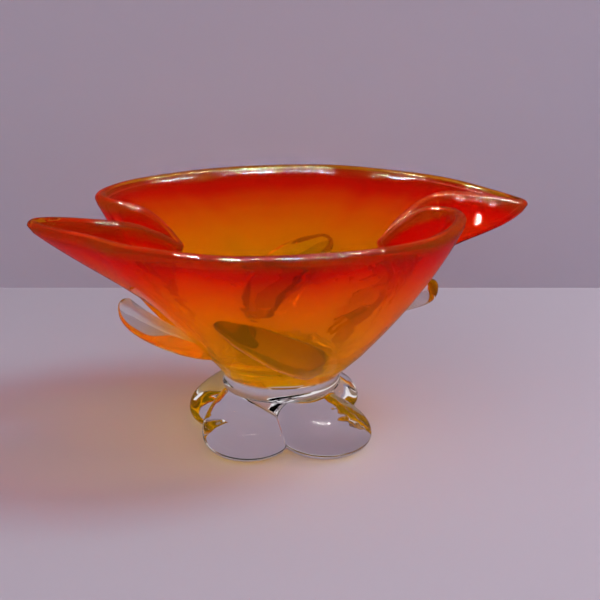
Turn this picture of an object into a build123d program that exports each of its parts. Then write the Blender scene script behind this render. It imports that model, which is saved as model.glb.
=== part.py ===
from build123d import *
import math
import os

# Footed centrepiece bowl in hand-blown, cased glass.  Millimetres, +Z up, base on z = 0.
# The two pulled spouts point along +X and -X; the front and rear walls face -Y and +Y.
os.makedirs("parts", exist_ok=True)

# ---- driving dimensions -------------------------------------------------------------
RIM_HEIGHT = 153.0          # centre of the rounded lip above the table, mid wall
RIM_HALF_DEPTH = 98.0       # front and rear wall, centre of the lip
RIGHT_TIP_REACH = 160.0     # right spout, centre of the lip
LEFT_TIP_REACH = 154.0      # left spout, pulled a little shorter
RIGHT_CURL_REACH = 107.0    # widest point of the right curl
LEFT_CURL_REACH = 113.0     # widest point of the left curl
WALL = 8.0                  # thickness of the cased wall
COLOUR_THICKNESS = 2.0      # coloured glass trapped inside the wall
COLOUR_CREST = 0.5          # top edge of the colour above the lip centre

BASE_HEIGHT = 47.0          # where the bowl sits on the neck
BASE_RADIUS = 36.5          # middle of the wall at the base
FLOOR_HEIGHT = 57.0         # lowest point of the inside
FLOOR_DISH = 1.8            # rise of the floor out to where the wall begins
STUB_RADIUS = 8.5           # the colour's short stem down to the neck
FOOT_TOP_HEIGHT = 36.0
NECK_RADIUS = 38.5          # waist between the bowl and the foot
FOOT_CORE_RADIUS = 36.0

FOLD_START = 0.12           # the rim curls fade out at this share of the wall height
FOLD_POWER = 0.7
FLARE = 0.35                # how strongly the front and rear walls belly outwards
KEEL_FLARE = -1.2           # the keel below a spout is hollow low down
KEEL_HOLLOW = -0.85         # and straightens higher up
KEEL_SPAN = 0.10            # share of the way round that a keel fades out over
SPOUT_UNDERCUT = 0.85       # the right spout is drawn out nearly level, hollow beneath
UNDERCUT_LEVEL = 0.77       # height share where that hollow is deepest
UNDERCUT_SPAN = 0.20
RING_POINTS = 144           # points on each closed ring of a wall surface
LIP_RISE = 3.5              # height of the rounded lip above its centre


# ---- the rim line -------------------------------------------------------------------
# One half of the rim runs from the middle of the front wall round the curl, in to the
# low apex of the fold, out along the near side of the spout, round the tip and back to
# the middle of the rear wall.  Each point is x, y, z of the lip centre.
def half_rim(tip_reach, curl_reach):
    depth = RIM_HALF_DEPTH
    top = RIM_HEIGHT
    return [
        (5, -depth, top),
        (36, 3 - depth, top),
        (63, 11 - depth, top),
        (curl_reach - 24, -75, top),
        (curl_reach - 8, -58, top + 1),
        (curl_reach, -40, top + 2),
        (curl_reach - 3, -26, top + 2),
        (curl_reach - 14, -18, top + 1),
        (85, -14, top - 3),
        (73, -11, top - 13),
        (65.5, -6, top - 23),
        (71, -0.5, top - 18),
        (81, 6, top - 11),
        (94, 12.5, top - 4),
        (110, 17, top),
        (tip_reach - 33, 13, top),
        (tip_reach - 14, 4, top - 1),
        (tip_reach, 0, top - 2.5),
        (tip_reach - 3, 9, top - 2.5),
        (tip_reach - 16, 26, top - 1.5),
        (tip_reach - 36, 47, top),
        (98, 67, top),
        (67, depth - 13, top),
        (35, depth - 2, top),
    ]


HALF_COUNT = 24             # points in one half of the rim
CURL_FIRST = 4              # the curl and fold lie between these two points
FOLD_APEX = 10
CURL_LAST = 17              # which is also the tip of the spout
KEEL_POINT = 17.8           # the keel lies just past the tip


# The same half with the curl left out: a gently bowed run from the wall to the tip.
def half_without_curl(points):
    start = points[CURL_FIRST]
    end = points[CURL_LAST]
    plain = list(points)
    for index in range(CURL_FIRST + 1, CURL_LAST):
        share = (index - CURL_FIRST) / (CURL_LAST - CURL_FIRST)
        bow = 7.0 * math.sin(math.pi * share)
        x = start[0] + (end[0] - start[0]) * share + 0.8 * bow
        y = start[1] + (end[1] - start[1]) * share - 0.6 * bow
        z = start[2] + (end[2] - start[2]) * share
        plain[index] = (x, y, z)
    return plain


# A half turned by 180 degrees about Z, to make the opposite half.
def turned(points):
    return [(-x, -y, z) for x, y, z in points]


# Closed curve through points at even parameter steps, so that all rings share knots.
def closed_curve(points):
    count = len(points)
    steps = [index / count for index in range(count + 1)]
    return Edge.make_spline([Vector(*p) for p in points], periodic=True, parameters=steps)


right_half = half_rim(RIGHT_TIP_REACH, RIGHT_CURL_REACH)
left_half = half_rim(LEFT_TIP_REACH, LEFT_CURL_REACH)
curled_rim = closed_curve(right_half + turned(left_half))
plain_rim = closed_curve(half_without_curl(right_half) + turned(half_without_curl(left_half)))


def on_curve(curve, u):
    return curve.position_at(u % 1.0, position_mode=PositionMode.PARAMETER)


# 1 at one spot of a closed run from 0 to 1, fading smoothly to 0 over a span.
def near(place, spot, span):
    gap = abs((place - spot + 0.5) % 1.0 - 0.5)
    return 0.5 + 0.5 * math.cos(math.pi * min(gap / span, 1.0))


# The same round the rim, about a numbered rim point of both halves.
def near_each(u, point, span):
    spot = point / (2 * HALF_COUNT)
    return max(near(u, spot, span), near(u, spot + 0.5, span))


# ---- the wall -----------------------------------------------------------------------
# Middle of the wall: u runs round the bowl (0..1), g up the wall (0 base, 1 rim).
def mid_wall(u, g):
    curled = on_curve(curled_rim, u)
    plain = on_curve(plain_rim, u)
    fold = max(0.0, (g - FOLD_START) / (1.0 - FOLD_START)) ** FOLD_POWER
    rim = plain + (curled - plain) * fold
    reach = math.hypot(plain.X, plain.Y)
    keel = near_each(u, KEEL_POINT, KEEL_SPAN)
    right_keel = near(u, KEEL_POINT / (2 * HALF_COUNT), KEEL_SPAN)
    flare = FLARE + keel * (KEEL_FLARE - KEEL_HOLLOW * g)
    flare -= right_keel * SPOUT_UNDERCUT * near(g, UNDERCUT_LEVEL, UNDERCUT_SPAN)
    spread = g + flare * g * (1.0 - g)
    x = (1.0 - spread) * BASE_RADIUS * plain.X / reach + spread * rim.X
    y = (1.0 - spread) * BASE_RADIUS * plain.Y / reach + spread * rim.Y
    return Vector(x, y, BASE_HEIGHT + (rim.Z - BASE_HEIGHT) * g)


# Outward unit normal of the middle surface.
def wall_normal(u, g):
    step_u = 0.001
    step_g = 0.01
    around = mid_wall(u + step_u, g) - mid_wall(u - step_u, g)
    upward = mid_wall(u, min(g + step_g, 1.0)) - mid_wall(u, max(g - step_g, 0.0))
    return around.cross(upward).normalized()


# How far the outside and the inside stand off the middle surface.  The two sides of a
# fold are pinched together at its apex; a spout closes into solid glass at its tip.
def outer_offset(u, g):
    return 0.5 * WALL * (1.0 - 0.85 * near_each(u, FOLD_APEX, 0.055) * g)


def inner_offset(u):
    return 0.5 * WALL * (1.0 - 0.9 * near_each(u, CURL_LAST + 0.5, 0.05))


# Ring of points at one height share, stood off the middle surface by a function of u.
def ring(g, offset):
    points = []
    for index in range(RING_POINTS):
        u = index / RING_POINTS
        points.append(mid_wall(u, g) + wall_normal(u, g) * offset(u))
    return closed_curve(points)


# Flat round ring that keeps the same angles as the wall above it.
def flat_ring(radius, height):
    points = []
    for index in range(RING_POINTS):
        plain = on_curve(plain_rim, index / RING_POINTS)
        reach = math.hypot(plain.X, plain.Y)
        points.append(Vector(radius * plain.X / reach, radius * plain.Y / reach, height))
    return closed_curve(points)


# Lip ring: swung over the rim from outside (0 degrees) through the top (90) to inside.
def lip_ring(degrees):
    swing = math.radians(degrees)
    points = []
    for index in range(RING_POINTS):
        u = index / RING_POINTS
        outward = wall_normal(u, 1.0)
        level = Vector(outward.X, outward.Y, 0).normalized()
        side = outer_offset(u, 1.0) if degrees < 90 else inner_offset(u)
        rise = Vector(0, 0, LIP_RISE * math.sin(swing))
        points.append(on_curve(curled_rim, u) + level * (side * math.cos(swing)) + rise)
    return closed_curve(points)


# Shallow dished floor, from its edge in to a small flat disc in the middle.
def floor_rings(height):
    edge = BASE_RADIUS - 2.5
    rings = []
    for radius in (edge, 0.75 * edge, 0.5 * edge, 0.25 * edge):
        rings.append(flat_ring(radius, height + FLOOR_DISH * (radius / edge) ** 3))
    return rings


# Height shares of the rings: close together low down, where the wall turns most.
WALL_LEVELS = (0.05, 0.10, 0.16, 0.23, 0.31, 0.39, 0.47, 0.55, 0.63, 0.71, 0.79, 0.87, 0.94)
COLOUR_LEVELS = WALL_LEVELS + (0.985,)


# One solid through a stack of rings, capped flat at both ends.
def loft_rings(rings):
    return Solid.make_loft([Wire([edge]) for edge in rings], ruled=True)


# Rings of the whole wall: up the outside, over the lip and down the inside.
def wall_rings():
    rings = [flat_ring(BASE_RADIUS + 0.5 * WALL, BASE_HEIGHT)]
    for g in WALL_LEVELS:
        rings.append(ring(g, lambda u: outer_offset(u, g)))
    for degrees in range(0, 181, 30):
        rings.append(lip_ring(degrees))
    for g in reversed(WALL_LEVELS[1:]):
        rings.append(ring(g, lambda u: -inner_offset(u)))
    return rings + floor_rings(FLOOR_HEIGHT)


# Rings of the coloured layer, a thin skin either side of the middle of the wall: from a
# short stub on the neck out under the floor, up, over the crest and back to the floor.
def colour_rings():
    share = COLOUR_THICKNESS / WALL
    low = FLOOR_HEIGHT - 0.5 * WALL
    crest = [mid_wall(index / RING_POINTS, 1.0) + Vector(0, 0, COLOUR_CREST)
             for index in range(RING_POINTS)]
    underside = floor_rings(low - COLOUR_THICKNESS)[::-1]
    rings = [flat_ring(STUB_RADIUS, BASE_HEIGHT)] + underside
    for g in COLOUR_LEVELS:
        rings.append(ring(g, lambda u: share * outer_offset(u, g)))
    rings.append(closed_curve(crest))
    for g in reversed(COLOUR_LEVELS):
        rings.append(ring(g, lambda u: -share * inner_offset(u)))
    return rings + floor_rings(low)


# The main body of a cut; slivers where two surfaces nearly touch are left off.
def main_body(shape):
    return shape.solids().sort_by(SortBy.VOLUME)[-1]


wall_solid = loft_rings(wall_rings())

with BuildPart() as colour_layer:
    add(loft_rings(colour_rings()))
colour_layer.part.label = "colour_layer"
export_step(colour_layer.part, "parts/colour_layer.step")

# The casing lies between the surface of the colour and the surface of the wall.  The
# pocket it leaves is open only at the stub, where the neck closes it.
with BuildPart() as clear_casing:
    add(loft_rings(colour_rings()[::-1] + wall_rings()))
clear_casing.part.label = "clear_casing"
export_step(clear_casing.part, "parts/clear_casing.step")


# ---- neck ---------------------------------------------------------------------------
# A short waisted disc of clear glass between the bowl and the foot.
bowl_seat_radius = BASE_RADIUS + 0.5 * WALL
with BuildPart() as neck:
    with BuildSketch(Plane.XZ):
        with BuildLine():
            Line((0, FOOT_TOP_HEIGHT), (bowl_seat_radius - 1.0, FOOT_TOP_HEIGHT))
            ThreePointArc((bowl_seat_radius - 1.0, FOOT_TOP_HEIGHT),
                          (NECK_RADIUS, 0.5 * (FOOT_TOP_HEIGHT + BASE_HEIGHT)),
                          (bowl_seat_radius, BASE_HEIGHT))
            Line((bowl_seat_radius, BASE_HEIGHT), (0, BASE_HEIGHT))
            Line((0, BASE_HEIGHT), (0, FOOT_TOP_HEIGHT))
        make_face()
    revolve(axis=Axis.Z)
neck.part.label = "neck"
export_step(neck.part, "parts/neck.step")


# ---- foot ---------------------------------------------------------------------------
# Four bell-shaped lobes leaning in to the neck, each set a little differently by hand.
# Each is: angle of the widest part, distance of its axis from the centre, radius.
FOOT_LOBES = (
    (41.0, 36.0, 30.0),
    (150.0, 38.0, 30.0),
    (226.0, 36.5, 30.0),
    (312.0, 38.0, 31.5),
)
# Sections of a lobe: height, share of the radius, share of the distance, twist.
LOBE_SECTIONS = (
    (0.0, 0.72, 1.00, 0.0),
    (3.0, 0.90, 1.00, 0.0),
    (9.0, 1.00, 1.00, -1.0),
    (17.0, 0.96, 0.97, -4.0),
    (26.0, 0.80, 0.86, -10.0),
    (FOOT_TOP_HEIGHT, 0.52, 0.70, -20.0),
)


def foot_lobe(angle, distance, radius):
    rings = []
    for height, radius_share, distance_share, twist in LOBE_SECTIONS:
        heading = math.radians(angle + twist)
        reach = distance * distance_share
        origin = (reach * math.cos(heading), reach * math.sin(heading), height)
        rings.append(Edge.make_circle(radius * radius_share, Plane(origin=origin)))
    return loft_rings(rings)


with BuildPart() as foot:
    with BuildSketch(Plane.XY):
        Circle(FOOT_CORE_RADIUS)
    with BuildSketch(Plane.XY.offset(FOOT_TOP_HEIGHT)):
        Circle(bowl_seat_radius - 1.0)
    loft()
    for angle, distance, radius in FOOT_LOBES:
        add(foot_lobe(angle, distance, radius))
foot.part.label = "foot"
export_step(foot.part, "parts/foot.step")


# ---- flank fins ---------------------------------------------------------------------
# Each fin rises from the neck, leaning round the flank, to a blunt outer end.  A fin
# below a spout is narrow and blunt; one on the front or rear wall is broad and swells
# gently.  Stations: angle past the fin, reach, height, half width, how far it stands out.
KEEL_FIN = (
    (27.0, 45.0, 63.0, 0.0, 0.0),
    (22.0, 54.0, 71.0, 8.5, 7.5),
    (17.0, 64.5, 77.5, 12.0, 11.0),
    (11.0, 75.5, 83.0, 14.5, 12.5),
    (5.0, 87.0, 89.0, 15.0, 13.0),
    (0.5, 95.0, 94.0, 13.5, 12.0),
    (-1.5, 99.0, 98.0, 9.0, 8.0),
    (-3.0, 99.5, 101.0, 0.0, 0.0),
)
WALL_FIN = (
    (22.0, 44.0, 55.0, 0.0, 0.0),
    (17.0, 50.5, 62.0, 13.0, 5.5),
    (10.0, 58.5, 71.0, 20.0, 8.5),
    (2.0, 66.0, 80.0, 25.0, 10.0),
    (-7.0, 73.0, 90.0, 26.0, 10.0),
    (-16.0, 80.0, 100.0, 22.0, 9.0),
    (-22.0, 84.0, 107.0, 14.0, 6.0),
    (-26.0, 84.0, 112.0, 0.0, 0.0),
)
# Each fin is: direction in degrees from +X, its stations, and how deep it sinks into
# the wall.
FINS = (
    (4.0, KEEL_FIN, 4.0),
    (86.0, WALL_FIN, 4.0),
    (187.0, KEEL_FIN, 2.5),
    (264.0, WALL_FIN, 4.0),
)
FIN_RING_POINTS = 24


def radial_direction(heading):
    return Vector(math.cos(heading), math.sin(heading), 0)


def fin_centre(direction, station):
    past, reach, height = station[:3]
    return radial_direction(math.radians(direction + past)) * reach + Vector(0, 0, height)


# Ring round the fin's centre line, bent to follow the flank round the bowl: full on
# the outside, shallow where it sinks into the wall.
def fin_ring(direction, station, along, buried):
    past, reach, height, half_width, half_thickness = station
    heading = math.radians(direction + past)
    climb = along.dot(radial_direction(heading))
    tilt = math.hypot(along.Z, climb)
    points = []
    for index in range(FIN_RING_POINTS):
        turn = 2.0 * math.pi * index / FIN_RING_POINTS
        depth = half_thickness if turn < math.pi else min(half_thickness, buried)
        swell = depth * math.sin(turn)
        radial = radial_direction(heading + half_width * math.cos(turn) / reach)
        points.append(radial * (reach + swell * along.Z / tilt)
                      + Vector(0, 0, height - swell * climb / tilt))
    return Wire([closed_curve(points)])


def fin_lump(direction, stations, buried):
    centres = [fin_centre(direction, station) for station in stations]
    outline = [Vertex(*centres[0])]
    for index in range(1, len(stations) - 1):
        along = (centres[index + 1] - centres[index - 1]).normalized()
        outline.append(fin_ring(direction, stations[index], along, buried))
    outline.append(Vertex(*centres[-1]))
    return Solid.make_loft(outline)


for number, (direction, stations, buried) in enumerate(FINS, start=1):
    outside_the_wall = main_body(fin_lump(direction, stations, buried) - wall_solid)
    with BuildPart() as fin:
        add(outside_the_wall)
    fin.part.label = "fin_" + str(number)
    export_step(fin.part, "parts/fin_" + str(number) + ".step")
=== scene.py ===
import bmesh
import bpy
import math
import numpy as np
from mathutils.bvhtree import BVHTree
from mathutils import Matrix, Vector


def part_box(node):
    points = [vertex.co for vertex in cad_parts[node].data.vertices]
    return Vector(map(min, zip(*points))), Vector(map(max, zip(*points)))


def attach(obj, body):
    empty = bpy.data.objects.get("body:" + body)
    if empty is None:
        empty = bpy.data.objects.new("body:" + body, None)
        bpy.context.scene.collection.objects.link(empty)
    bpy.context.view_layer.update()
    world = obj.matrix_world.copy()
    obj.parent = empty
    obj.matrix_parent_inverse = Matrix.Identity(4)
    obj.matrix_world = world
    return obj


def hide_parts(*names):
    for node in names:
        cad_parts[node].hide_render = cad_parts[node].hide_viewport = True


# Looks for the footed, cased-glass centrepiece bowl; tips on +X and -X, front -Y.  The
# pieces are worked out in millimetres, the stage, lights and camera in metres.
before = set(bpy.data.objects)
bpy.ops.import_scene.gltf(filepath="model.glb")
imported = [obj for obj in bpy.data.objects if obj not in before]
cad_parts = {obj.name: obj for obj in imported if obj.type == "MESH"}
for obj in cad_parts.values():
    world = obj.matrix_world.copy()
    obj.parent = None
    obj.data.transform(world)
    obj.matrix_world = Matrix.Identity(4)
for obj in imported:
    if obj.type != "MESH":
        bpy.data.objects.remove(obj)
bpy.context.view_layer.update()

MM = 0.001

# ---- sizes from the frame -----------------------------------------------------------
casing_low, casing_high = (np.array(corner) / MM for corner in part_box("clear_casing"))
neck_high = np.array(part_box("neck")[1]) / MM
foot_high = np.array(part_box("foot")[1]) / MM

WALL = 8.0                  # thickness of the cased wall
LIP_RISE = 3.5              # height of the rounded lip above its centre
CURL_RISE = 2.12            # the curls stand this far above the front and rear rim
DEPTH_MARGIN = 0.2          # keeps the front and rear of the lip inside the frame
RIGHT_TIP_LIP = 4.78        # from the centre of the lip out to the end of the spout
LEFT_TIP_LIP = 5.0
RIM_HEIGHT = casing_high[2] - LIP_RISE - CURL_RISE
RIM_HALF_DEPTH = casing_high[1] - 0.5 * WALL - DEPTH_MARGIN
RIGHT_TIP_REACH = casing_high[0] - RIGHT_TIP_LIP
LEFT_TIP_REACH = -casing_low[0] - LEFT_TIP_LIP
CURL_SHORTFALL = 51.0       # the right curl ends this far short of the right tip
LEFT_CURL_EXTRA = 6.0       # the left curl is this much wider
RIGHT_CURL_REACH = RIGHT_TIP_REACH - CURL_SHORTFALL
LEFT_CURL_REACH = RIGHT_CURL_REACH + LEFT_CURL_EXTRA
BASE_HEIGHT = neck_high[2]
SEAT_RADIUS = neck_high[0]
BASE_RADIUS = SEAT_RADIUS - 0.5 * WALL
FOOT_TOP = foot_high[2]
FOOT_TOP_RADIUS = SEAT_RADIUS - 1.0
FLOOR_HEIGHT = BASE_HEIGHT + 10.0
FLOOR_DISH = 1.8            # rise of the floor out to where the wall begins
COLOUR_THICKNESS = 2.0      # coloured glass trapped inside the wall
COLOUR_CREST = 0.5          # top edge of the colour above the lip centre

AROUND = 432                # mesh columns round the bowl
HALF_COUNT = 24             # points in one half of the rim
FOLD_APEX = 10              # lowest point of the fold
CURL_FIRST = 4              # the curl and the fold lie between this point of the rim
CURL_LAST = 17              # and this one, which is also the tip of the spout
KEEL_POINT = 17.8           # the keel lies just past the tip
FOLD_START = 0.12           # the rim curls fade out at this share of the wall height
FOLD_POWER = 0.7
FLARE = 0.35                # how strongly the front and rear walls belly outwards
KEEL_FLARE = -1.2           # the keel below a spout is hollow low down
KEEL_HOLLOW = -0.85         # and straightens higher up
KEEL_SPAN = 0.10            # share of the way round that a keel fades out over
SPOUT_UNDERCUT = 0.85       # the right spout is drawn out nearly level, hollow beneath
UNDERCUT_LEVEL = 0.77       # height share where that hollow is deepest
UNDERCUT_SPAN = 0.20


# ---- the rim line, as in the CAD ----------------------------------------------------
# One half of the rim runs from the middle of the front wall round the curl, in to the
# low apex of the fold, out along the near side of the spout, round the tip and back to
# the middle of the rear wall.  Each point is x, y, z of the lip centre.
def half_rim(tip_reach, curl_reach):
    depth = RIM_HALF_DEPTH
    top = RIM_HEIGHT
    return [
        (5, -depth, top),
        (36, 3 - depth, top),
        (63, 11 - depth, top),
        (curl_reach - 24, -75, top),
        (curl_reach - 8, -58, top + 1),
        (curl_reach, -40, top + 2),
        (curl_reach - 3, -26, top + 2),
        (curl_reach - 14, -18, top + 1),
        (85, -14, top - 3),
        (73, -11, top - 13),
        (65.5, -6, top - 23),
        (71, -0.5, top - 18),
        (81, 6, top - 11),
        (94, 12.5, top - 4),
        (110, 17, top),
        (tip_reach - 33, 13, top),
        (tip_reach - 14, 4, top - 1),
        (tip_reach, 0, top - 2.5),
        (tip_reach - 3, 9, top - 2.5),
        (tip_reach - 16, 26, top - 1.5),
        (tip_reach - 36, 47, top),
        (98, 67, top),
        (67, depth - 13, top),
        (35, depth - 2, top),
    ]


# The same half with the curl left out: a gently bowed run from the wall to the tip.
def half_without_curl(points):
    start = np.array(points[CURL_FIRST])
    end = np.array(points[CURL_LAST])
    plain = list(points)
    for index in range(CURL_FIRST + 1, CURL_LAST):
        share = (index - CURL_FIRST) / (CURL_LAST - CURL_FIRST)
        bow = 7.0 * math.sin(math.pi * share)
        plain[index] = tuple(start + (end - start) * share + bow * np.array([0.8, -0.6, 0.0]))
    return plain


# A half turned by 180 degrees about Z, to make the opposite half.
def turned(points):
    return [(-x, -y, z) for x, y, z in points]


# Smooth closed curve through points, sampled at even parameter steps.
def closed_spline(points, count):
    points = np.array(points, float)
    total = len(points)
    unit = np.eye(total)
    system = 4.0 * unit + np.roll(unit, 1, 0) + np.roll(unit, -1, 0)
    slopes = np.linalg.solve(system, 3.0 * (np.roll(points, -1, 0) - np.roll(points, 1, 0)))
    place = np.arange(count) * total / count
    start = place.astype(int)
    end = (start + 1) % total
    s = (place - start)[:, None]
    return ((2 * s**3 - 3 * s**2 + 1) * points[start] + (s**3 - 2 * s**2 + s) * slopes[start]
            + (3 * s**2 - 2 * s**3) * points[end] + (s**3 - s**2) * slopes[end])


right_half = half_rim(RIGHT_TIP_REACH, RIGHT_CURL_REACH)
left_half = half_rim(LEFT_TIP_REACH, LEFT_CURL_REACH)
curled_rim = closed_spline(right_half + turned(left_half), AROUND)
plain_halves = half_without_curl(right_half) + turned(half_without_curl(left_half))
plain_rim = closed_spline(plain_halves, AROUND)
plain_reach = np.hypot(plain_rim[:, 0], plain_rim[:, 1])
u_place = np.arange(AROUND) / AROUND


# 1 at one spot of a closed run from 0 to 1, fading smoothly to 0 over a span.
def near(place, spot, span):
    gap = np.abs((place - spot + 0.5) % 1.0 - 0.5)
    return 0.5 + 0.5 * np.cos(np.pi * np.minimum(gap / span, 1.0))


# The same round the rim, about a numbered rim point of both halves.
def near_each(point, span):
    spot = point / (2 * HALF_COUNT)
    return np.maximum(near(u_place, spot, span), near(u_place, spot + 0.5, span))


# ---- the wall -----------------------------------------------------------------------
# Middle of the wall, all the way round, at height share g (0 base, 1 rim).
def mid_wall(g):
    fold = max(0.0, (g - FOLD_START) / (1.0 - FOLD_START)) ** FOLD_POWER
    rim = plain_rim + (curled_rim - plain_rim) * fold
    flare = FLARE + near_each(KEEL_POINT, KEEL_SPAN) * (KEEL_FLARE - KEEL_HOLLOW * g)
    right_keel = near(u_place, KEEL_POINT / (2 * HALF_COUNT), KEEL_SPAN)
    flare = flare - right_keel * SPOUT_UNDERCUT * near(g, UNDERCUT_LEVEL, UNDERCUT_SPAN)
    spread = g + flare * g * (1.0 - g)
    base = BASE_RADIUS / plain_reach
    ring = np.empty((AROUND, 3))
    ring[:, 0] = (1.0 - spread) * base * plain_rim[:, 0] + spread * rim[:, 0]
    ring[:, 1] = (1.0 - spread) * base * plain_rim[:, 1] + spread * rim[:, 1]
    ring[:, 2] = BASE_HEIGHT + (rim[:, 2] - BASE_HEIGHT) * g
    return ring


# Each row scaled to a length of 1.
def unit_rows(rows):
    return rows / np.linalg.norm(rows, axis=1)[:, None]


# Outward unit normals of the middle surface.
def wall_normals(g):
    step = 0.01
    ring = mid_wall(g)
    around = np.roll(ring, -1, 0) - np.roll(ring, 1, 0)
    upward = mid_wall(min(g + step, 1.0)) - mid_wall(max(g - step, 0.0))
    return unit_rows(np.cross(around, upward))


# How far the outside and the inside stand off the middle surface.  The two sides of a
# fold are pinched together at its apex; a spout closes into solid glass at its tip.
def outer_offset(g):
    return 0.5 * WALL * (1.0 - 0.85 * near_each(FOLD_APEX, 0.055) * g)


def inner_offset():
    return 0.5 * WALL * (1.0 - 0.9 * near_each(CURL_LAST + 0.5, 0.05))


# Ring at one height share, stood off the middle surface.
def ring_at(g, offset):
    return mid_wall(g) + wall_normals(g) * np.asarray(offset)[:, None]


# Flat round ring that keeps the same angles as the wall above it.
def flat_ring(radius, height):
    ring = np.empty((AROUND, 3))
    ring[:, 0] = radius * plain_rim[:, 0] / plain_reach
    ring[:, 1] = radius * plain_rim[:, 1] / plain_reach
    ring[:, 2] = height
    return ring


# Lip ring: swung over the rim from outside (0 degrees) through the top (90) to inside.
def lip_ring(degrees):
    swing = math.radians(degrees)
    level = wall_normals(1.0) * np.array([1.0, 1.0, 0.0])
    side = outer_offset(1.0) if degrees < 90 else inner_offset()
    ring = curled_rim + unit_rows(level) * (side * math.cos(swing))[:, None]
    ring[:, 2] += LIP_RISE * math.sin(swing)
    return ring


# ---- mesh helpers -------------------------------------------------------------------
# Smooth piece from points in millimetres.
def make_object(name, points, faces):
    mesh = bpy.data.meshes.new(name)
    mesh.from_pydata([tuple(p) for p in np.asarray(points) * MM], [], faces)
    mesh.validate()
    shape = bmesh.new()
    shape.from_mesh(mesh)
    bmesh.ops.recalc_face_normals(shape, faces=shape.faces)
    shape.to_mesh(mesh)
    shape.free()
    mesh.polygons.foreach_set("use_smooth", [True] * len(mesh.polygons))
    mesh.update()
    obj = bpy.data.objects.new(name, mesh)
    bpy.context.scene.collection.objects.link(obj)
    return obj


# Closed skin through a stack of rings, from the first ring's middle to the last's.
def make_skin(name, rings):
    columns = len(rings[0])
    points = np.vstack(list(rings) + [rings[0].mean(0)[None], rings[-1].mean(0)[None]])
    faces = []
    for row in range(len(rings) - 1):
        for column in range(columns):
            following = (column + 1) % columns
            low = row * columns
            faces.append((low + column, low + following,
                          low + columns + following, low + columns + column))
    first = len(rings) * columns
    top = (len(rings) - 1) * columns
    for column in range(columns):
        following = (column + 1) % columns
        faces.append((following, column, first))
        faces.append((top + column, top + following, first + 1))
    return make_object(name, points, faces)


# One number for each point of a piece, for its material to read.
def point_values(obj, name, values):
    attribute = obj.data.attributes.new(name, "FLOAT", "POINT")
    attribute.data.foreach_set("value", np.asarray(values, dtype=np.float32))


# One number for each ring of a skin, and one for each of the two middles that close it.
def ring_values(obj, name, values, ends=(0.0, 0.0)):
    columns = (len(obj.data.vertices) - 2) // len(values)
    point_values(obj, name, np.concatenate([np.repeat(values, columns), ends]))


# Shallow dished floor, from its edge in to a small flat disc in the middle.
FLOOR_EDGE = BASE_RADIUS - 2.5
FLOOR_SHARES = (1.0, 0.85, 0.7, 0.55, 0.4, 0.25, 0.1)


def floor_rings(height):
    return [flat_ring(FLOOR_EDGE * s, height + FLOOR_DISH * s**3) for s in FLOOR_SHARES]


# Evens out a corner between wall and floor by averaging each ring with its neighbours.
def soften_rows(rings, first, last, times):
    for _ in range(times):
        before = [ring.copy() for ring in rings]
        for row in range(first, last):
            rings[row] = 0.25 * before[row - 1] + 0.5 * before[row] + 0.25 * before[row + 1]


# ---- clear casing -------------------------------------------------------------------
AMBER_LIP_START = 0.94      # the lip's glass turns amber from this height share
AMBER_LIP_SPAN = 0.05       # and is all amber this much higher


# Up the outside from the seat, over the lip, down the inside and across the floor.
def build_casing():
    outer_levels = np.linspace(0.02, 0.985, 56)
    lip_swing = np.linspace(0, 180, 13)
    inner_levels = np.linspace(0.985, 0.09, 54)
    seat = [flat_ring(SEAT_RADIUS * s, BASE_HEIGHT) for s in (0.2, 0.4, 0.6, 0.8, 0.95, 1.0)]
    rings = list(seat)
    rings += [ring_at(g, outer_offset(g)) for g in outer_levels]
    rings += [lip_ring(degrees) for degrees in lip_swing]
    rings += [ring_at(g, -inner_offset()) for g in inner_levels]
    corner = len(rings)
    rings += floor_rings(FLOOR_HEIGHT)
    soften_rows(rings, first=corner - 10, last=corner + 4, times=24)
    casing = make_skin("casing", rings)
    level = np.concatenate([np.zeros(len(seat)), outer_levels, np.ones(len(lip_swing)),
                            inner_levels, np.zeros(len(FLOOR_SHARES))])
    amber = np.clip((level - AMBER_LIP_START) / AMBER_LIP_SPAN, 0.0, 1.0)
    ring_values(casing, "amber", amber)
    return casing


# ---- colour layer -------------------------------------------------------------------
COLOUR_SHARE = COLOUR_THICKNESS / WALL
CREST_LEVEL = 0.985         # height share that the colour ramp reads at the crest


# A thin skin either side of the middle of the wall, closed under the lip.
def build_colour():
    low = FLOOR_HEIGHT - 0.5 * WALL
    levels = np.linspace(0.06, 0.975, 60)
    under = floor_rings(low - COLOUR_THICKNESS)[::-1]
    rings = list(under)
    rings += [ring_at(g, COLOUR_SHARE * outer_offset(g)) for g in levels]
    rings += [curled_rim + np.array([0.0, 0.0, COLOUR_CREST])]
    rings += [ring_at(g, -COLOUR_SHARE * inner_offset()) for g in levels[::-1]]
    corner = len(rings)
    rings += floor_rings(low)
    soften_rows(rings, first=len(under) - 4, last=len(under) + 6, times=16)
    soften_rows(rings, first=corner - 6, last=corner + 4, times=16)
    skin = make_skin("colour_skin", rings)
    flat = np.zeros(len(FLOOR_SHARES))
    rise = np.concatenate([flat, levels, [CREST_LEVEL], levels[::-1], flat])
    ring_values(skin, "rise", rise)
    return skin


# ---- flank fins ---------------------------------------------------------------------
# Smooth open run through a few stations.
def smooth_run(stations, count):
    stations = np.array(stations, float)
    padded = np.vstack([2 * stations[0] - stations[1], stations, 2 * stations[-1] - stations[-2]])
    place = np.linspace(0, len(stations) - 1, count)
    start = np.minimum(place.astype(int), len(stations) - 2)
    t = (place - start)[:, None]
    a, b, c, d = (padded[start + k] for k in range(4))
    return 0.5 * (2 * b + (c - a) * t + (2 * a - 5 * b + 4 * c - d) * t**2
                  + (3 * b - a - 3 * c + d) * t**3)


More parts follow.
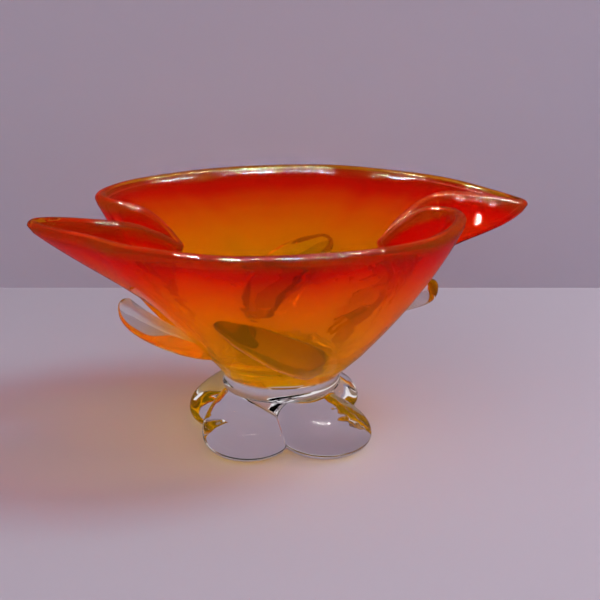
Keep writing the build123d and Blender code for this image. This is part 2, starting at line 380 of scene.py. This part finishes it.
# Each fin rises from the neck, leaning round the flank, to a blunt outer end.
# Stations: angle past the fin, reach, height, half width, how far it stands out.
KEEL_FIN = (
    (27.0, 45.0, 63.0, 0.0, 0.0),
    (22.0, 54.0, 71.0, 8.5, 7.5),
    (17.0, 64.5, 77.5, 12.0, 11.0),
    (11.0, 75.5, 83.0, 14.5, 12.5),
    (5.0, 87.0, 89.0, 15.0, 13.0),
    (0.5, 95.0, 94.0, 13.5, 12.0),
    (-1.5, 99.0, 98.0, 9.0, 8.0),
    (-3.0, 99.5, 101.0, 0.0, 0.0),
)
WALL_FIN = (
    (22.0, 44.0, 55.0, 0.0, 0.0),
    (17.0, 50.5, 62.0, 13.0, 5.5),
    (10.0, 58.5, 71.0, 20.0, 8.5),
    (2.0, 66.0, 80.0, 25.0, 10.0),
    (-7.0, 73.0, 90.0, 26.0, 10.0),
    (-16.0, 80.0, 100.0, 22.0, 9.0),
    (-22.0, 84.0, 107.0, 14.0, 6.0),
    (-26.0, 84.0, 112.0, 0.0, 0.0),
)
# Direction, stations, how deep it is buried, and how softly its edges run into the wall.
FINS = (
    (4.0, KEEL_FIN, 4.0, 1.0),
    (86.0, WALL_FIN, 4.0, 3.0),
    (187.0, KEEL_FIN, 2.5, 1.0),
    (264.0, WALL_FIN, 4.0, 3.0),
)
FIN_ROWS = 81
FIN_RING_POINTS = 96
MIN_HALF_WIDTH = 0.3        # so that the ends of a fin don't shrink to nothing
MIN_STAND_OUT = 0.2
STREAK_END = 0.35           # share of the fin, from its blunt end, that stays clear
STREAK_GAIN = 2.2           # how quickly the amber streak sets in after that


# A lump bent to follow the flank round the bowl, full outside and shallow in the wall.
def build_fin(number, direction, stations, buried, softness):
    run = smooth_run(stations, FIN_ROWS)
    heading = np.radians(direction + run[:, 0])
    path = np.stack([run[:, 1] * np.cos(heading), run[:, 1] * np.sin(heading), run[:, 2]], 1)
    along = unit_rows(np.gradient(path, axis=0))
    climb = along[:, 0] * np.cos(heading) + along[:, 1] * np.sin(heading)
    turn = np.linspace(0, 2 * math.pi, FIN_RING_POINTS, endpoint=False)
    rings = []
    for row in range(1, len(run) - 1):
        reach, height = run[row, 1:3]
        wide = max(run[row, 3], MIN_HALF_WIDTH)
        thick = max(run[row, 4], MIN_STAND_OUT)
        bearing = heading[row] + wide * np.cos(turn) / reach
        tilt = math.hypot(along[row, 2], climb[row])
        outside = thick * np.abs(np.sin(turn)) ** softness
        swell = np.where(turn < math.pi, outside, min(thick, buried) * np.sin(turn))
        radial = reach + swell * along[row, 2] / tilt
        level = height - swell * climb[row] / tilt
        rings.append(np.stack([radial * np.cos(bearing), radial * np.sin(bearing), level], 1))
    fin = make_skin("fin_glass_" + str(number), rings)
    share = np.linspace(1.0, 0.0, len(rings))
    amber = np.clip((share - STREAK_END) * STREAK_GAIN, 0.0, 1.0)
    ring_values(fin, "amber", amber, ends=(1.0, 0.0))
    return fin


# ---- neck ---------------------------------------------------------------------------
INWARD = (0.95, 0.75, 0.5, 0.25)    # shares of the radius that divide a flat end
NECK_WAIST = 1.5                    # how far the neck is drawn in at mid height


def build_neck():
    rings = [flat_ring(FOOT_TOP_RADIUS * s, FOOT_TOP) for s in INWARD[::-1]]
    for t in np.linspace(0, 1, 20):
        bow = 4.0 * t * (1.0 - t)
        radius = FOOT_TOP_RADIUS + (SEAT_RADIUS - FOOT_TOP_RADIUS) * t - NECK_WAIST * bow
        rings.append(flat_ring(radius, FOOT_TOP + (BASE_HEIGHT - FOOT_TOP) * t))
    rings += [flat_ring(SEAT_RADIUS * s, BASE_HEIGHT) for s in INWARD]
    return make_skin("neck_glass", rings)


# ---- foot ---------------------------------------------------------------------------
FOOT_CORE_RADIUS = 36.0
LOBE_BLEND = 1.2            # how softly the lobes run into one another
# Each lobe is: angle of the widest part, distance of its axis from the centre, radius.
FOOT_LOBES = (
    (41.0, 36.0, 30.0),
    (150.0, 38.0, 30.0),
    (226.0, 36.5, 30.0),
    (312.0, 38.0, 31.5),
)
# Sections of a lobe: height, share of the radius, share of the distance, twist.
LOBE_STATIONS = (
    (0.0, 0.72, 1.00, 0.0),
    (3.0, 0.90, 1.00, 0.0),
    (9.0, 1.00, 1.00, -1.0),
    (17.0, 0.96, 0.97, -4.0),
    (26.0, 0.80, 0.86, -10.0),
    (FOOT_TOP, 0.52, 0.70, -20.0),
)


# Outline of the foot at one height: the core with each lobe blended on in turn.
def foot_ring(height, radius_share, distance_share, twist, theta):
    core = FOOT_CORE_RADIUS + (FOOT_TOP_RADIUS - FOOT_CORE_RADIUS) * height / FOOT_TOP
    reach = np.full(len(theta), core)
    for angle, distance, radius in FOOT_LOBES:
        away = theta - math.radians(angle + twist)
        distance = distance * distance_share
        radius = radius * radius_share
        inside = radius**2 - (distance * np.sin(away)) ** 2
        far = distance * np.cos(away) + np.sqrt(np.maximum(inside, 0.0))
        far = np.where((inside > 0) & (np.cos(away) > 0), far, 0.0)
        blend = np.sqrt((reach - far) ** 2 + LOBE_BLEND**2) - LOBE_BLEND
        reach = 0.5 * (reach + far + blend)
    level = np.full(len(theta), height)
    return np.stack([reach * np.cos(theta), reach * np.sin(theta), level], 1)


def build_foot():
    theta = np.linspace(0, 2 * math.pi, AROUND, endpoint=False)
    rows = smooth_run(LOBE_STATIONS, 90)
    sole = foot_ring(*rows[0], theta)
    rings = [sole * np.array([s, s, 1.0]) for s in (0.2, 0.4, 0.6, 0.8, 0.93)]
    rings += [foot_ring(*row, theta) for row in rows]
    top = rings[-1]
    rings += [top * np.array([s, s, 1.0]) for s in INWARD]
    return make_skin("foot_glass", rings)


# ---- materials ----------------------------------------------------------------------
# The node tree of a material or world, built up by short calls.
class Nodes:
    def __init__(self, owner):
        self.owner = owner
        owner.use_nodes = True
        self.tree = owner.node_tree
        self.tree.nodes.clear()

    def add(self, kind, **inputs):
        node = self.tree.nodes.new(kind)
        for name, value in inputs.items():
            self.feed(node.inputs[name.replace("_", " ")], value)
        return node

    def feed(self, socket, value):
        if isinstance(value, bpy.types.NodeSocket):
            self.tree.links.new(value, socket)
        else:
            socket.default_value = value

    def mix(self, share, first, second):
        node = self.tree.nodes.new("ShaderNodeMixShader")
        self.feed(node.inputs[0], share)
        self.feed(node.inputs[1], first)
        self.feed(node.inputs[2], second)
        return node.outputs[0]

    def math(self, operation, first, second):
        node = self.tree.nodes.new("ShaderNodeMath")
        node.operation = operation
        self.feed(node.inputs[0], first)
        self.feed(node.inputs[1], second)
        return node.outputs[0]

    # A value that goes from one number to another as share goes from 0 to 1.
    def between(self, share, low, high):
        return self.add("ShaderNodeMapRange", Value=share, To_Min=low, To_Max=high).outputs["Result"]

    # 1 for a ray mirrored off glass, else 0.  A refracted ray counts as glossy too.
    def mirrored_ray(self):
        rays = self.add("ShaderNodeLightPath").outputs
        return self.math("MULTIPLY", rays["Is Glossy Ray"], rays["Is Reflection Ray"])

    def attribute(self, name):
        node = self.tree.nodes.new("ShaderNodeAttribute")
        node.attribute_name = name
        return node.outputs["Fac"]

    def ramp(self, share, stops):
        node = self.tree.nodes.new("ShaderNodeValToRGB")
        self.feed(node.inputs["Fac"], share)
        elements = node.color_ramp.elements
        while len(elements) < len(stops):
            elements.new(0.5)
        for element, (place, colour) in zip(elements, stops):
            element.position = place
            element.color = (*colour, 1.0)
        return node.outputs["Color"]

    def finish(self, surface, output="ShaderNodeOutputMaterial"):
        self.add(output, Surface=surface)
        return self.owner


GLASS_IOR = 1.5
SHEEN_POWER = 1.3           # above 1 the glass mirrors a little less than plain glass


# Clear glass; where two glass pieces are fused ("weld" above 0) there is no interface.
# A streak colour tints it where "amber" says, and lets that share of it catch the light.
def clear_glass(name, streak=None, lit_share=0.0):
    nodes = Nodes(bpy.data.materials.new(name))
    place = nodes.add("ShaderNodeTexCoord")
    noise = nodes.add("ShaderNodeTexNoise", Vector=place.outputs["Object"], Scale=38.0, Detail=2.0,
                      Distortion=0.8)
    bump = nodes.add("ShaderNodeBump", Strength=0.18, Distance=0.002, Height=noise.outputs["Fac"])
    normal = bump.outputs["Normal"]
    bend = nodes.add("ShaderNodeBsdfRefraction", Color=(0.975, 0.98, 0.97, 1), Roughness=0.0,
                     IOR=GLASS_IOR, Normal=normal)
    mirror = nodes.add("ShaderNodeBsdfGlossy", Color=(1, 1, 1, 1), Roughness=0.0, Normal=normal)
    fresnel = nodes.add("ShaderNodeFresnel", IOR=GLASS_IOR, Normal=normal)
    sheen = nodes.math("POWER", fresnel.outputs[0], SHEEN_POWER)
    body = bend.outputs[0]
    if streak is not None:
        amber = nodes.add("ShaderNodeBsdfTranslucent", Color=(*streak, 1))
        shone = nodes.add("ShaderNodeBsdfDiffuse", Color=(*streak, 1))
        tinted = nodes.add("ShaderNodeBsdfRefraction", Color=(*streak, 1), Roughness=0.0,
                           IOR=GLASS_IOR, Normal=normal)
        lit = nodes.mix(0.5, amber.outputs[0], shone.outputs[0])
        streaked = nodes.mix(lit_share, tinted.outputs[0], lit)
        body = nodes.mix(nodes.attribute("amber"), body, streaked)
    glass = nodes.mix(sheen, body, mirror.outputs[0])
    through = nodes.add("ShaderNodeBsdfTransparent", Color=(1, 1, 1, 1))
    fused = nodes.math("GREATER_THAN", nodes.attribute("weld"), 0.0)
    surface = nodes.mix(fused, glass, through.outputs[0])
    light_path = nodes.add("ShaderNodeLightPath")
    shade = nodes.add("ShaderNodeBsdfTransparent", Color=(0.93, 0.93, 0.93, 1))
    return nodes.finish(nodes.mix(light_path.outputs["Is Shadow Ray"], surface, shade.outputs[0]))


# Colour of the skin against its height share, base to crest.
AMBER_TO_RED = (
    (0.0, (0.99, 0.79, 0.03)),
    (0.40, (0.99, 0.70, 0.02)),
    (0.64, (0.99, 0.58, 0.01)),
    (0.76, (0.98, 0.45, 0.01)),
    (0.85, (0.96, 0.26, 0.01)),
    (0.91, (0.93, 0.09, 0.01)),
    (0.97, (0.90, 0.08, 0.01)),
    (1.0, (0.86, 0.46, 0.03)),
)
SKIN_GLOW = 0.09            # share of the skin that glows instead of only tinting
SWIRL_DEPTH = 0.20          # how far the swirls shift the colour up and down


# The coloured skin tints what passes and glows a little with the light inside it.
def coloured_glass(name):
    nodes = Nodes(bpy.data.materials.new(name))
    place = nodes.add("ShaderNodeTexCoord")
    swirl = nodes.add("ShaderNodeMapping", Vector=place.outputs["Object"], Rotation=(0.5, 0.3, 0.6),
                      Scale=(1.0, 3.0, 0.5))
    noise = nodes.add("ShaderNodeTexNoise", Vector=swirl.outputs[0], Scale=12.0, Detail=4.0,
                      Distortion=0.6)
    centred = nodes.math("SUBTRACT", noise.outputs["Fac"], 0.5)
    drift = nodes.math("MULTIPLY", centred, SWIRL_DEPTH)
    rise = nodes.math("ADD", nodes.attribute("rise"), drift)
    colour = nodes.ramp(rise, AMBER_TO_RED)
    tint = nodes.add("ShaderNodeBsdfTransparent", Color=colour)
    body = nodes.add("ShaderNodeBsdfTranslucent", Color=colour)
    diffuse = nodes.add("ShaderNodeBsdfDiffuse", Color=colour)
    glow = nodes.mix(0.5, body.outputs[0], diffuse.outputs[0])
    surface = nodes.mix(SKIN_GLOW, tint.outputs[0], glow)
    light_path = nodes.add("ShaderNodeLightPath")
    return nodes.finish(nodes.mix(light_path.outputs["Is Shadow Ray"], surface, tint.outputs[0]))


MOTTLE = 0.97               # the darker patches of a matt surface
FAINT = 0.25                # how bright a matt surface is in a mirror reflection


# Matt surface that reflects only faintly in the glass, so the glass keeps its depth,
# and that isn't there when looked at from behind.
def plain_matte(name, colour):
    nodes = Nodes(bpy.data.materials.new(name))
    noise = nodes.add("ShaderNodeTexNoise", Scale=6.0, Detail=2.0)
    low = tuple(c * MOTTLE for c in colour)
    shade = nodes.ramp(noise.outputs["Fac"], ((0.3, low), (0.7, colour)))
    surface = nodes.add("ShaderNodeBsdfDiffuse", Color=shade)
    faint = nodes.add("ShaderNodeBsdfDiffuse", Color=tuple(c * FAINT for c in colour) + (1,))
    front = nodes.mix(nodes.mirrored_ray(), surface.outputs[0], faint.outputs[0])
    geometry = nodes.add("ShaderNodeNewGeometry")
    unseen = nodes.add("ShaderNodeBsdfTransparent", Color=(1, 1, 1, 1))
    return nodes.finish(nodes.mix(geometry.outputs["Backfacing"], front, unseen.outputs[0]))


# ---- fused places -------------------------------------------------------------------
WELD_SEARCH = 0.03          # metres; farther than this from a piece counts as outside it
OUTSIDE = -1.0
INSIDE = 1.0
FACE_TOLERANCE = 0.01       # millimetres off a flat face that still counts as on it
FACE_EDGE = 0.5             # the fused part of a flat face stops this far inside its edge


# How deep each point lies inside another piece; below 0 it lies outside.
def depth_inside(points, other):
    mesh = other.data
    corners = [vertex.co.copy() for vertex in mesh.vertices]
    tree = BVHTree.FromPolygons(corners, [tuple(face.vertices) for face in mesh.polygons])
    depths = np.full(len(points), OUTSIDE)
    for index, point in enumerate(points):
        found, normal, _, distance = tree.find_nearest(point, WELD_SEARCH)
        if found is not None:
            depths[index] = distance if (point - found).dot(normal) < 0 else -distance
    return depths


# The greatest of those depths over several pieces.
def deepest_inside(obj, others):
    points = [vertex.co.copy() for vertex in obj.data.vertices]
    depths = np.full(len(points), OUTSIDE)
    for other in others:
        depths = np.maximum(depths, depth_inside(points, other))
    return depths


# Which points lie on a flat round face at one height, short of the face's edge.
def on_flat_face(obj, height, radius):
    places = np.array([vertex.co for vertex in obj.data.vertices]) / MM
    level = np.abs(places[:, 2] - height) < FACE_TOLERANCE
    return level & (np.hypot(places[:, 0], places[:, 1]) < radius - FACE_EDGE)


# ---- the pieces ---------------------------------------------------------------------
casing = build_casing()
colour = build_colour()
fins = [build_fin(number, *fin) for number, fin in enumerate(FINS, start=1)]
neck = build_neck()
foot = build_foot()

# The glass has no surface where a fin is fused on, and where bowl, neck and foot meet.
fused_seat = on_flat_face(casing, BASE_HEIGHT, SEAT_RADIUS)
point_values(casing, "weld", np.where(fused_seat, INSIDE, deepest_inside(casing, fins)))
for fin in fins:
    point_values(fin, "weld", deepest_inside(fin, [casing]))
fused_ends = on_flat_face(neck, FOOT_TOP, FOOT_TOP_RADIUS)
fused_ends |= on_flat_face(neck, BASE_HEIGHT, SEAT_RADIUS)
point_values(neck, "weld", np.where(fused_ends, INSIDE, OUTSIDE))
fused_top = on_flat_face(foot, FOOT_TOP, FOOT_TOP_RADIUS)
point_values(foot, "weld", np.where(fused_top, INSIDE, OUTSIDE))

glass = clear_glass("clear_glass_finish")
streaked_glass = clear_glass("streaked_glass_finish", (0.99, 0.62, 0.05), 0.15)
lipped_glass = clear_glass("lipped_glass_finish", (0.84, 0.50, 0.05), 0.05)
finishes = [lipped_glass, glass, glass] + [streaked_glass] * len(fins)
for obj, finish in zip([casing, neck, foot] + fins, finishes):
    obj.data.materials.append(finish)
    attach(obj, "root")
colour.data.materials.append(coloured_glass("amber_red_finish"))
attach(colour, "root")
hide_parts("clear_casing")
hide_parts("colour_layer")
for number, fin in enumerate(fins, start=1):
    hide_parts("fin_" + str(number))
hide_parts("neck")
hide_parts("foot")


# ---- stage --------------------------------------------------------------------------
# The camera looks from the front, a little to the left.
AZIMUTH = math.radians(-7.6)
ELEVATION = math.radians(21.0)
TARGET = np.array([0.0182, 0.042, 0.075])
DISTANCE = 0.889
away = np.array([-math.sin(AZIMUTH), math.cos(AZIMUTH), 0.0])
right = np.array([math.cos(AZIMUTH), math.sin(AZIMUTH), 0.0])
up = np.array([0.0, 0.0, 1.0])

FLOOR_DROP = 0.0002         # the table lies just clear of the sole of the foot
STAGE_HALF_WIDTH = 3.0
BACKDROP_GAP = 0.225        # from the camera's target to the backdrop
BACKDROP_HALF_HEIGHT = 1.4


# Flat rectangle that isn't part of the object.
def flat_panel(name, centre, half_a, half_b, finish):
    corners = [centre + half_a * a + half_b * b for a, b in ((-1, -1), (1, -1), (1, 1), (-1, 1))]
    mesh = bpy.data.meshes.new(name)
    mesh.from_pydata([tuple(c) for c in corners], [], [(0, 1, 2, 3)])
    mesh.materials.append(finish)
    obj = bpy.data.objects.new(name, mesh)
    bpy.context.scene.collection.objects.link(obj)


floor_finish = plain_matte("floor_finish", (0.34, 0.30, 0.35))
flat_panel("floor", -FLOOR_DROP * up, right * STAGE_HALF_WIDTH, away * STAGE_HALF_WIDTH,
           floor_finish)
target_on_table = TARGET * np.array([1.0, 1.0, 0.0])
backdrop_centre = target_on_table + away * BACKDROP_GAP + up * BACKDROP_HALF_HEIGHT
backdrop_finish = plain_matte("backdrop_finish", (0.36, 0.315, 0.385))
flat_panel("backdrop", backdrop_centre, right * STAGE_HALF_WIDTH, up * BACKDROP_HALF_HEIGHT,
           backdrop_finish)


# ---- lights -------------------------------------------------------------------------
# Rectangular lamp at a place, turned towards its aim.
def area_light(name, place, aim, size, power):
    light = bpy.data.lights.new(name, "AREA")
    light.shape = "RECTANGLE"
    light.size = size[0]
    light.size_y = size[1]
    light.energy = power
    obj = bpy.data.objects.new(name, light)
    obj.location = place
    direction = Vector(aim) - Vector(place)
    obj.rotation_euler = direction.to_track_quat("-Z", "Y").to_euler()
    bpy.context.scene.collection.objects.link(obj)
    return obj


# A lamp that shows only as a highlight on the glass.
def highlight(name, place, aim, size, power):
    lamp = area_light(name, place, aim, size, power)
    lamp.visible_diffuse = False
    lamp.visible_transmission = False


# A lamp that lights the scene and isn't seen in the glass.
def softbox(name, place, aim, size, power):
    lamp = area_light(name, place, aim, size, power)
    lamp.visible_glossy = False
    lamp.visible_transmission = False


# Ceiling tubes: x, y, length.
TUBES = (
    (-0.35, -0.9, 0.35),
    (0.3, -0.7, 0.35),
    (-0.1, -0.25, 0.5),
    (-0.5, 0.1, 0.3),
    (0.45, 0.15, 0.3),
    (0.0, 0.6, 0.5),
)
TUBE_HEIGHT = 1.4
TUBE_WIDTH = 0.04
TUBE_POWER = 60.0           # watts per metre
# Ceiling spots: x, y.
SPOTS = (
    (-0.7, -0.5),
    (-0.25, -0.6),
    (0.15, -0.45),
    (0.65, -0.35),
    (-0.3, 0.25),
    (0.2, 0.3),
    (0.75, 0.35),
    (-0.7, 0.5),
)
SPOT_HEIGHT = 1.2
SPOT_SIZE = 0.04
SPOT_POWER = 8.0
middle = (0.0, 0.0, 0.08)

softbox("soft_key", (0.9, 0.0, 1.3), middle, (0.5, 0.5), 20.0)
softbox("soft_fill", (-0.4, -1.2, 1.2), middle, (1.6, 1.2), 7.0)
for number, (x, y, length) in enumerate(TUBES):
    highlight("tube_" + str(number), (x, y, TUBE_HEIGHT), (x, y, 0.0), (length, TUBE_WIDTH),
              TUBE_POWER * length)
for number, (x, y) in enumerate(SPOTS):
    highlight("spot_" + str(number), (x, y, SPOT_HEIGHT), middle, (SPOT_SIZE, SPOT_SIZE), SPOT_POWER)


ROOM_LIGHT = 0.95
ROOM_MIRRORED = 0.06        # the room is nearly dark in the glass's reflections
ROOM_BEHIND = 0.40          # and dimmer where the camera looks straight at it


# Even light from all round.
def dim_room(name):
    nodes = Nodes(bpy.data.worlds.new(name))
    lit = nodes.between(nodes.mirrored_ray(), ROOM_LIGHT, ROOM_MIRRORED)
    rays = nodes.add("ShaderNodeLightPath").outputs
    seen = nodes.between(rays["Is Camera Ray"], 1.0, ROOM_BEHIND)
    room = nodes.add("ShaderNodeBackground", Color=(0.85, 0.82, 0.88, 1.0),
                     Strength=nodes.math("MULTIPLY", lit, seen))
    return nodes.finish(room.outputs[0], "ShaderNodeOutputWorld")


scene = bpy.context.scene
scene.world = dim_room("room")
scene.view_settings.view_transform = "Standard"


# ---- camera -------------------------------------------------------------------------
camera_data = bpy.data.cameras.new("camera")
camera_data.lens = 77.3
camera_data.sensor_width = 36.0
camera = bpy.data.objects.new("camera", camera_data)
level_part = DISTANCE * math.cos(ELEVATION)
camera.location = TARGET - away * level_part + up * DISTANCE * math.sin(ELEVATION)
camera.rotation_euler = (Vector(TARGET) - camera.location).to_track_quat("-Z", "Y").to_euler()
scene.collection.objects.link(camera)
scene.camera = camera
